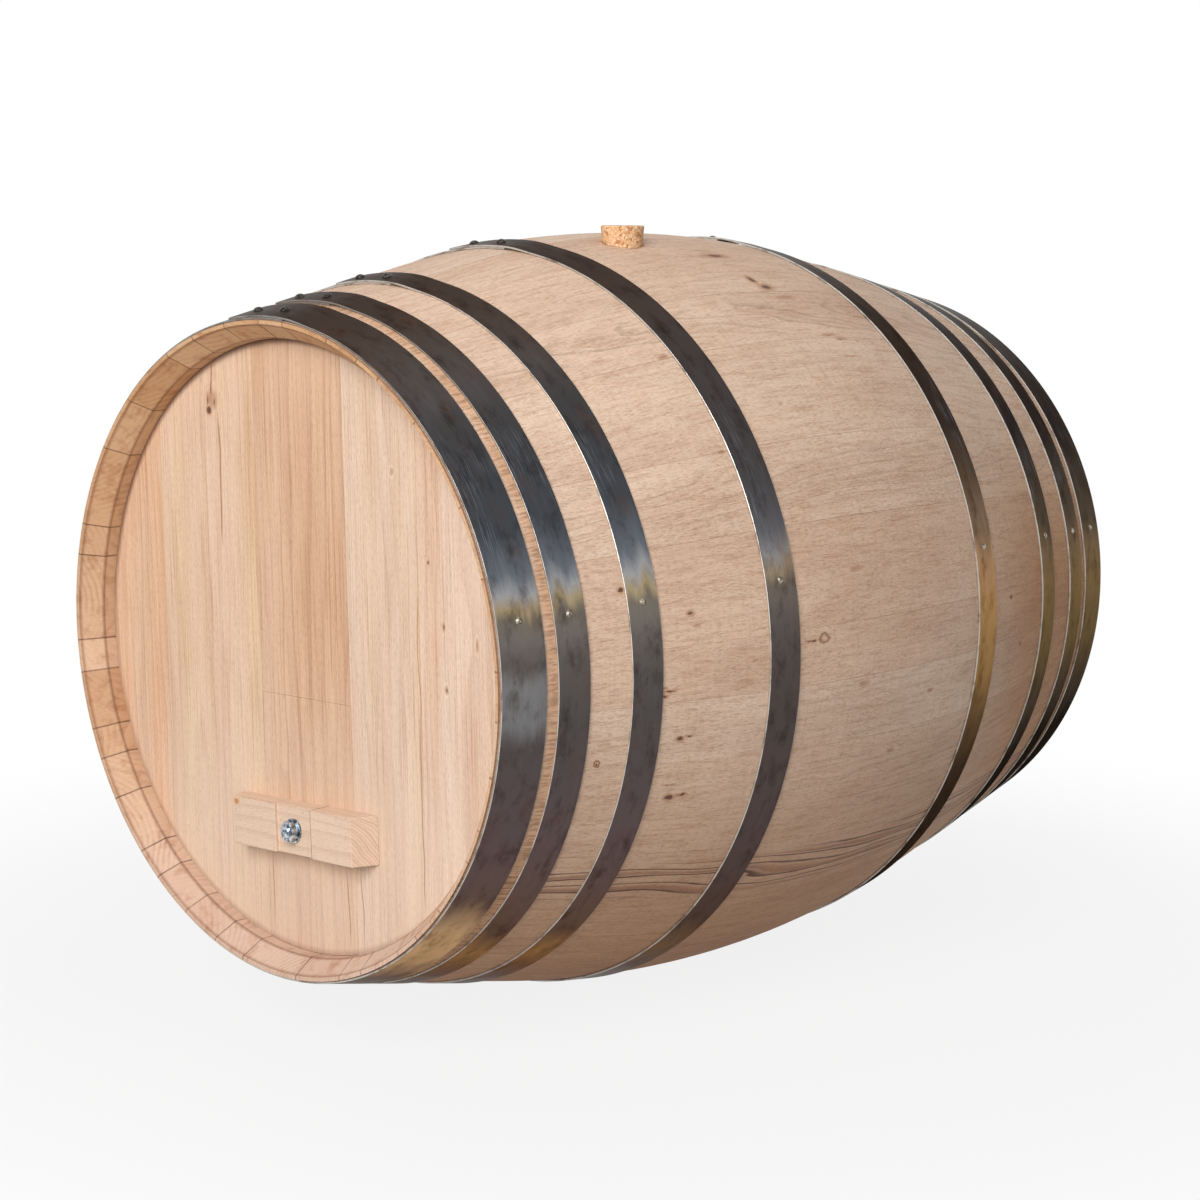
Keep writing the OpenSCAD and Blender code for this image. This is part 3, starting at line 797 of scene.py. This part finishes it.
def inset(outline, depth):
    """A closed outline of (radius, y) drawn inwards; it runs with its inside to the left."""
    drawn = []
    for k, (radius, y) in enumerate(outline):
        before, after = outline[k - 1], outline[(k + 1) % len(outline)]
        run_r, run_y = after[0] - before[0], after[1] - before[1]
        length = math.hypot(run_r, run_y)
        drawn.append((radius - depth * run_y / length, y + depth * run_r / length))
    return drawn


def stave_outline():
    """Section of a stave along the barrel."""
    foot = HEAD_Y - RIM_T - CROZE_PLAY
    top = HEAD_Y + CROZE_PLAY
    howel_r = outside_r(HEAD_Y, STAVE_T)
    croze_r = howel_r + CROZE_DEPTH
    chime = [
        (outside_r(HALF_LEN) - CHIME_FLAT, HALF_LEN),
        (howel_r, HALF_LEN - CHIME_BEVEL),
        (howel_r, top),
        (croze_r, top),
        (croze_r, foot),
        (outside_r(foot, STAVE_T), foot),
    ]
    steps = [2 * k / STAVE_STEPS - 1 for k in range(STAVE_STEPS + 1)]
    outside = [(outside_r(HALF_LEN * s), HALF_LEN * s) for s in steps]
    inside = [(outside_r(foot * s, STAVE_T), foot * s) for s in steps[1:-1]]
    return outside + chime + inside[::-1] + [(r, -y) for r, y in chime[::-1]]


def stave_span(node):
    """Middle angle and half width of a stave round the axis, from the frame."""
    points = [v.co for v in frame["nodes"][node].data.vertices]
    centre = sum(points, Vector()) / len(points)
    middle = round_axis(centre)[1]
    offsets = [math.remainder(round_axis(p)[1] - middle, math.tau) for p in points]
    return middle + (min(offsets) + max(offsets)) / 2, (max(offsets) - min(offsets)) / 2


def stave_mesh(name, middle, half, materials):
    outline = stave_outline()
    edge_angle = STAVE_EDGE / BELLY_R
    inner = half - edge_angle
    count = max(2, round(2 * inner / COLUMN_ANGLE))
    columns = [(-half, inset(outline, STAVE_EDGE))]
    columns += [(inner * (2 * k / count - 1), outline) for k in range(count + 1)]
    columns += [(half, inset(outline, STAVE_EDGE))]
    vertices, faces = loft([[at(r, middle + turn, y) for r, y in section] for turn, section in columns])
    size = len(outline)
    chime_faces = {STAVE_STEPS + k for k in range(3)} | {size - 3 + k for k in range(3)}
    face_materials = [int(k % size in chime_faces) for k in range(len(faces) - 2)] + [0, 0]
    return piece(name, vertices, faces, materials, face_materials)


def cut(made, cutter):
    """Takes one solid out of another."""
    modifier = made.modifiers.new("cut", "BOOLEAN")
    modifier.operation = "DIFFERENCE"
    modifier.solver = "EXACT"
    modifier.object = cutter
    graph = bpy.context.evaluated_depsgraph_get()
    result = bpy.data.meshes.new_from_object(made.evaluated_get(graph))
    made.modifiers.remove(modifier)
    made.data = result
    bpy.data.objects.remove(cutter)


def lathe(name, sections, origin, axis, sides, material):
    """Round solid from (radius, height) sections along an axis."""
    spin = axis.to_track_quat("Z", "Y").to_matrix()
    turns = [math.tau * k / sides for k in range(sides)]
    outlines = []
    for radius, height in sections:
        points = [Vector((radius * math.cos(t), radius * math.sin(t), height)) for t in turns]
        outlines.append([origin + spin @ point for point in points])
    vertices, faces = loft(outlines)
    return piece(name, vertices, faces, [material], [0] * len(faces))


bung_low, bung_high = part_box("bung")
bung_joint = next(j for j in frame["joints"] if j["name"] == "bung_pull")
BUNG_AXIS = Vector(bung_joint["axis"]).normalized()
BUNG_Y = (bung_low.y + bung_high.y) / 2
BUNG_R = 0.0225
BUNG_LEN = 0.055
BUNG_PROUD = 0.018
BUNG_TAPER = math.tan(math.radians(5))
BUNG_CHAMFER = 0.0012
BUNG_FIT = 0.0001
HOLE_SIDES = 96
BUNG_ANGLE = math.acos((bung_low.x + bung_high.x) / 2 / outside_r(BUNG_Y))
BUNG_FOOT = at(outside_r(BUNG_Y), BUNG_ANGLE, BUNG_Y) + BUNG_AXIS * (BUNG_PROUD - BUNG_LEN)


def bung_radius(height):
    return BUNG_R - (BUNG_LEN - height) * BUNG_TAPER


# Stave with the bung hole, strongly streaked staves, and the most streak of the others
BUNG_STAVE = "stave_28"
STREAKED_STAVES = ("stave_17",)
FAINT_STREAK = 0.25
# Pith of a stave: its greatest shift to a side, its least and greatest depth, its greatest lean
PITH_SHIFT = 0.09
PITH_DEPTHS = (0.02, 0.16)
PITH_LEAN = 0.05
# Distance along the grain from piece to piece, so that no two look alike
GRAIN_APART = 4.0


def dress_staves(materials):
    draw = random.Random(SEED)
    for k in range(1, 1 + sum(n.startswith("stave_") for n in frame["nodes"])):
        node = f"stave_{k}"
        middle, half = stave_span(node)
        made = stave_mesh(f"{node}_planed", middle, half, materials)
        if node == BUNG_STAVE:
            ends = [(bung_radius(h) + BUNG_FIT, h) for h in (0, BUNG_LEN)]
            cut(made, lathe("bung_hole", ends, BUNG_FOOT, BUNG_AXIS, HOLE_SIDES, materials[0]))
        shift = draw.uniform(-PITH_SHIFT, PITH_SHIFT)
        depth = draw.uniform(*PITH_DEPTHS)
        lean = draw.uniform(-PITH_LEAN, PITH_LEAN)
        run = GRAIN_APART * k
        pale, hue = draw.random(), draw.random()
        streak = 1.0 if node in STREAKED_STAVES else FAINT_STREAK * draw.random() ** 3
        grain = []
        edge = []
        for vertex in made.data.vertices:
            radius, angle = round_axis(vertex.co)
            across = math.remainder(angle - middle, math.tau) * radius
            inwards = outside_r(vertex.co.y) - radius
            grain.append((across + shift, vertex.co.y + run, depth + inwards + lean * vertex.co.y))
            edge.append((half * radius - abs(across), 0, 0))
        store(made.data, "grain", grain)
        store(made.data, "edge", edge)
        store(made.data, "character", [(pale, hue, streak)] * len(grain))
        stands_for(made, "barrel", node)


def hoop_line(node):
    """Edges of a hoop's inside as (radius, y), and the angles where its lap starts and ends."""
    low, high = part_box(node)
    points = [v.co for v in frame["nodes"][node].data.vertices]
    edges = []
    for y in (low.y, high.y):
        edges.append((min(round_axis(p)[0] for p in points if abs(p.y - y) < TOUCH), y))
    doubled = [round_axis(p)[1] for p in points
               if abs(p.y - low.y) < TOUCH and round_axis(p)[0] > edges[0][0] + 1.5 * HOOP_T]
    return edges, min(doubled), max(doubled)


def hoop_strip(node, start_of_grain, materials):
    """A strip bent round, whose outer end climbs over its inner end and lies on it along the lap."""
    (low, high), start, end = hoop_line(node)
    run = Vector((high[0] - low[0], high[1] - low[1]))
    width = run.length
    run.normalize()
    rise = Vector((run.y, -run.x))
    middle = Vector(((low[0] + high[0]) / 2, (low[1] + high[1]) / 2))
    thick = HOOP_T - LAP_GAP
    sweep = math.tau + end - start
    steps = round(sweep / HOOP_STEP)
    turns = [sweep * k / steps for k in range(steps + 1)]
    for k in range(1, LAP_TRIM_STEPS):
        turns.append(sweep - k / LAP_TRIM_STEPS * LAP_TRIM / middle.x)
    turns.sort()
    outlines = []
    grain = []
    for turn in turns:
        climb = min(1, max(0, (turn - math.tau + LAP_RAMP) / LAP_RAMP))
        base = HOOP_T * climb * climb * (3 - 2 * climb) + LAP_GAP
        half = width / 2 - LAP_TRIM_SLOPE * max(0, LAP_TRIM - (sweep - turn) * middle.x)
        c = HOOP_EDGE
        section = [(-half, c), (-half, thick - c), (c - half, thick), (half - c, thick),
                   (half, thick - c), (half, c), (half - c, 0), (c - half, 0)]
        outline = []
        for across, up in section:
            radius, y = middle + run * across + rise * (base + up)
            outline.append(at(radius, start + turn, y))
            grain.append((start_of_grain + turn * middle.x, across, up))
        outlines.append(outline)
    vertices, faces = loft(outlines)
    bright = {0, 1, 3, 4, 5, 7}
    face_materials = [int(k % len(section) in bright) for k in range(len(faces) - 2)] + [1, 1]
    made = piece(f"{node}_strip", vertices, faces, materials, face_materials)
    store(made.data, "grain", grain)
    stands_for(made, "barrel", node)


def dress_bung(material):
    """Tapered cork with granules that stand a little apart."""
    sides, rows, rounds = 150, 64, 26
    spin = BUNG_AXIS.to_track_quat("Z", "Y").to_matrix()
    sections = [(bung_radius(0) * k / rounds, 0) for k in range(1, rounds)]
    chamfer = [(bung_radius(0) - BUNG_CHAMFER, 0), (bung_radius(BUNG_CHAMFER), BUNG_CHAMFER)]
    wall = [(bung_radius(h), h) for h in
            (BUNG_CHAMFER + (BUNG_LEN - 2 * BUNG_CHAMFER) * k / rows for k in range(1, rows + 1))]
    top_r = BUNG_R - BUNG_CHAMFER
    top = [(top_r * k / rounds, BUNG_LEN) for k in range(rounds, 0, -1)]
    sections = [s for s in sections if s[0] < chamfer[0][0]] + chamfer + wall + top
    outlines = []
    for radius, height in sections:
        outline = []
        for k in range(sides):
            turn = math.tau * k / sides
            flat = Vector((radius * math.cos(turn), radius * math.sin(turn), height))
            apart = noise.voronoi(flat * CORK_GRAINS)[0]
            gap = max(0.0, GAP_WIDTH - (apart[1] - apart[0])) / GAP_WIDTH
            pit = max(0.0, noise.noise(flat * PIT_SCALE) - PIT_FROM)
            depth = GAP_DEPTH * gap + PIT_DEPTH * pit
            outwards = Vector((0, 0, float(height >= BUNG_LEN)))
            if 0 < height < BUNG_LEN:
                outwards = Vector((flat.x, flat.y, 0)).normalized()
            outline.append(BUNG_FOOT + spin @ (flat - outwards * depth))
        outlines.append(outline)
    vertices, faces = loft(outlines)
    made = piece("bung_cork", vertices, faces, [material], [0] * len(faces), sharp=math.radians(60))
    stands_for(made, "bung", "bung")


def dress_bolt(material):
    """Hexagon bolt with a rolled thread and a chamfered tip."""
    low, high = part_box("hatch_bolt")
    centre_x, centre_z = (low.x + high.x) / 2, (low.z + high.z) / 2
    bolt_r = 0.006
    head_h = 0.0075
    thread_len = 0.046
    chamfer = 0.0012
    head_chamfer = 0.0008
    flank = 1.35
    sides = 48
    rows_a_turn = 8
    nut_flat = (high.z - low.z) / 2
    length = high.y - low.y

    def point(radius, turn, height):
        x = centre_x + radius * math.cos(turn)
        z = centre_z + radius * math.sin(turn)
        return Vector((x, high.y - height, z))

    def hex_radius(turn):
        sector = math.remainder(turn - math.pi / 2, math.pi / 3)
        return nut_flat / math.cos(sector)

    outlines = []
    turns = [math.tau * k / sides for k in range(sides)]
    corner = nut_flat / math.cos(math.pi / 6)
    for height, limit in ((0, nut_flat), (head_chamfer, corner), (head_h, corner)):
        outlines.append([point(min(limit, hex_radius(t)), t, height) for t in turns])
    plain_end = length - thread_len
    outlines.append([point(bolt_r, t, head_h) for t in turns])
    outlines.append([point(bolt_r, t, plain_end) for t in turns])
    rows = round(rows_a_turn * thread_len / THREAD_PITCH)
    for row in range(1, rows + 1):
        height = plain_end + thread_len * row / rows
        fade = min(1.0, (height - plain_end) / THREAD_PITCH)
        limit = bolt_r - max(0.0, chamfer - (length - height))
        outline = []
        for t in turns:
            phase = (height / THREAD_PITCH - t / math.tau) % 1.0
            groove = min(1.0, flank * abs(2 * phase - 1))
            outline.append(point(min(limit, bolt_r - THREAD_DEPTH * fade * (1 - groove)), t, height))
        outlines.append(outline)
    vertices, faces = loft(outlines)
    made = piece("hatch_bolt_threaded", vertices, faces, [material], [0] * len(faces),
                 sharp=math.radians(35))
    stands_for(made, "hatch", "hatch_bolt")


def repaint(node, material):
    """Gives a node of the frame its finish."""
    for slot in frame["nodes"][node].material_slots:
        slot.link = "OBJECT"
        slot.material = material


def soften(node, width):
    """Rounds the edges of a node of the frame."""
    made = frame["nodes"][node]
    weld = made.modifiers.new("weld", "WELD")
    weld.merge_threshold = TOUCH / 10
    bevel = made.modifiers.new("soften", "BEVEL")
    bevel.width = width
    bevel.segments = 2
    bevel.limit_method = "ANGLE"
    bevel.angle_limit = math.radians(40)
    bevel.harden_normals = True


dress_staves([stave_wood(), chime_wood()])
HOOP_MATERIALS = [hoop_steel(), hoop_edge()]
HOOPS = [f"{side}_{kind}_hoop" for side in ("front", "rear")
         for kind in ("head", "collar", "quarter", "bilge")]
for k, node in enumerate(HOOPS):
    hoop_strip(node, GRAIN_APART * k, HOOP_MATERIALS)
dress_bung(cork())
zinc = zinc_steel()
dress_bolt(zinc)
for node in ("hatch_nut", "hatch_washer", "hatch_plate"):
    repaint(node, zinc)
for node, look in HEAD_BOARDS.items():
    repaint(node, head_wood(f"{node}_wood", *look))
repaint("hatch_door", bpy.data.materials["front_head_board_3_wood"])
REAR_BOARDS = (srgb(232, 198, 168), srgb(228, 190, 156), 0.11, 0.09)
repaint("rear_head_boards", head_wood("rear_head_wood", *REAR_BOARDS, front=False))
bar = bar_wood()
repaint("crossbar", bar)
repaint("head_dowels", bar)
repaint("hoop_rivets", fastener_steel("rivet_steel", srgb(36, 34, 34), srgb(88, 82, 76)))
repaint("hoop_nails", fastener_steel("nail_steel", srgb(90, 83, 73), srgb(176, 167, 150)))
soften("crossbar", width=0.0008)
soften("hatch_washer", width=0.0003)


# Camera at the photograph's place
CAMERA_AZIMUTH = math.radians(43.792)
CAMERA_ELEVATION = math.radians(9.101)
CAMERA_ROLL = math.radians(0.205)
CAMERA_DISTANCE = 2.7719
IMAGE_SIZE = 1200
FOCAL_PIXELS = 2543.1
CENTRE_PIXEL = (610.18, 598.87)
SENSOR = 36.0

back = Vector((
    math.sin(CAMERA_AZIMUTH) * math.cos(CAMERA_ELEVATION),
    -math.cos(CAMERA_AZIMUTH) * math.cos(CAMERA_ELEVATION),
    math.sin(CAMERA_ELEVATION),
))
right = Vector((0, 0, 1)).cross(back).normalized()
up = back.cross(right)
lens = bpy.data.cameras.new("camera")
lens.sensor_width = SENSOR
lens.lens = SENSOR * FOCAL_PIXELS / IMAGE_SIZE
lens.shift_x = (IMAGE_SIZE / 2 - CENTRE_PIXEL[0]) / IMAGE_SIZE
lens.shift_y = (CENTRE_PIXEL[1] - IMAGE_SIZE / 2) / IMAGE_SIZE
camera = bpy.data.objects.new("camera", lens)
bpy.context.scene.collection.objects.link(camera)
facing = Matrix((right, up, back)).transposed() @ Matrix.Rotation(CAMERA_ROLL, 3, "Z")
camera.matrix_world = Matrix.Translation(AXIS + back * CAMERA_DISTANCE) @ facing.to_4x4()
bpy.context.scene.camera = camera


# Floor, backdrop and light
def lamp(name, place, aim, size, watts, colour=(1, 1, 1)):
    light = bpy.data.lights.new(name, "AREA")
    light.shape = "RECTANGLE"
    light.size, light.size_y = size
    light.energy = watts
    light.color = colour
    made = bpy.data.objects.new(name, light)
    made.location = place
    made.rotation_euler = (Vector(aim) - Vector(place)).to_track_quat("-Z", "Y").to_euler()
    bpy.context.scene.collection.objects.link(made)
    return made


def seen(tree):
    """1 for rays that show the background: from the camera, in gloss and through glass."""
    path = tree.nodes.new("ShaderNodeLightPath")
    total = path.outputs["Is Camera Ray"]
    for name in ("Is Glossy Ray", "Is Transmission Ray"):
        node = tree.nodes.new("ShaderNodeMath")
        node.operation = "MAXIMUM"
        tree.links.new(total, node.inputs[0])
        tree.links.new(path.outputs[name], node.inputs[1])
        total = node.outputs[0]
    return total


def backdrop(ambient):
    world = bpy.data.worlds.new("studio")
    world.use_nodes = True
    tree = world.node_tree
    tree.nodes.clear()
    lit = tree.nodes.new("ShaderNodeBackground")
    lit.inputs["Strength"].default_value = ambient
    shown = tree.nodes.new("ShaderNodeBackground")
    for node in (lit, shown):
        node.inputs["Color"].default_value = (1, 1, 1, 1)
    mixer = tree.nodes.new("ShaderNodeMixShader")
    tree.links.new(seen(tree), mixer.inputs[0])
    tree.links.new(lit.outputs[0], mixer.inputs[1])
    tree.links.new(shown.outputs[0], mixer.inputs[2])
    output = tree.nodes.new("ShaderNodeOutputWorld")
    tree.links.new(mixer.outputs[0], output.inputs["Surface"])
    bpy.context.scene.world = world


# How white the floor shows beside the barrel, where it keeps the shadow
FLOOR_WHITE = 0.86
# Distances from the middle between which it turns white
SHADOW_END, WHITE_FROM = 0.55, 1.3
FLOOR_REACH = 30


def floor():
    """Pale floor that keeps the shadow near the barrel and turns plain white further out."""
    shader = Shader("floor")
    place = shader.place()
    grey = shader.noise(place, (2, 2, 2), 2.0)
    shader.colour = shader.mix(grey, (0.50, 0.50, 0.50, 1), (0.47, 0.47, 0.47, 1))
    shader.complete(Roughness=0.9)
    white = shader.add("Emission")
    far = shader.step(shader.vector("LENGTH", place), SHADOW_END, WHITE_FROM)
    share = shader.times(shader.spread(far, FLOOR_WHITE, 1.0), seen(shader.tree))
    mixer = shader.add("MixShader")
    shader.feed(mixer.inputs[0], share)
    shader.feed(mixer.inputs[1], shader.surface.outputs[0])
    shader.feed(mixer.inputs[2], white.outputs[0])
    shader.feed(shader.output.inputs["Surface"], mixer.outputs[0])
    corners = [(x * FLOOR_REACH, y * FLOOR_REACH, 0) for x, y in ((-1, -1), (1, -1), (1, 1), (-1, 1))]
    mesh = bpy.data.meshes.new("floor")
    mesh.from_pydata(corners, [], [(0, 1, 2, 3)])
    mesh.materials.append(shader.material)
    made = bpy.data.objects.new("floor", mesh)
    bpy.context.scene.collection.objects.link(made)


floor()
backdrop(ambient=0.26)
lamp("key", (1.61, -3.45, 2.17), AXIS, size=(2.2, 2.2), watts=145)
lamp("top", (0.2, -0.4, 3.4), AXIS, size=(1.8, 1.8), watts=18, colour=(0.85, 0.93, 1.0))
card = lamp("card", (3.0, 2.0, 1.05), AXIS, size=(5.0, 0.30), watts=14)
card.visible_diffuse = False
bpy.context.scene.view_settings.view_transform = "Standard"
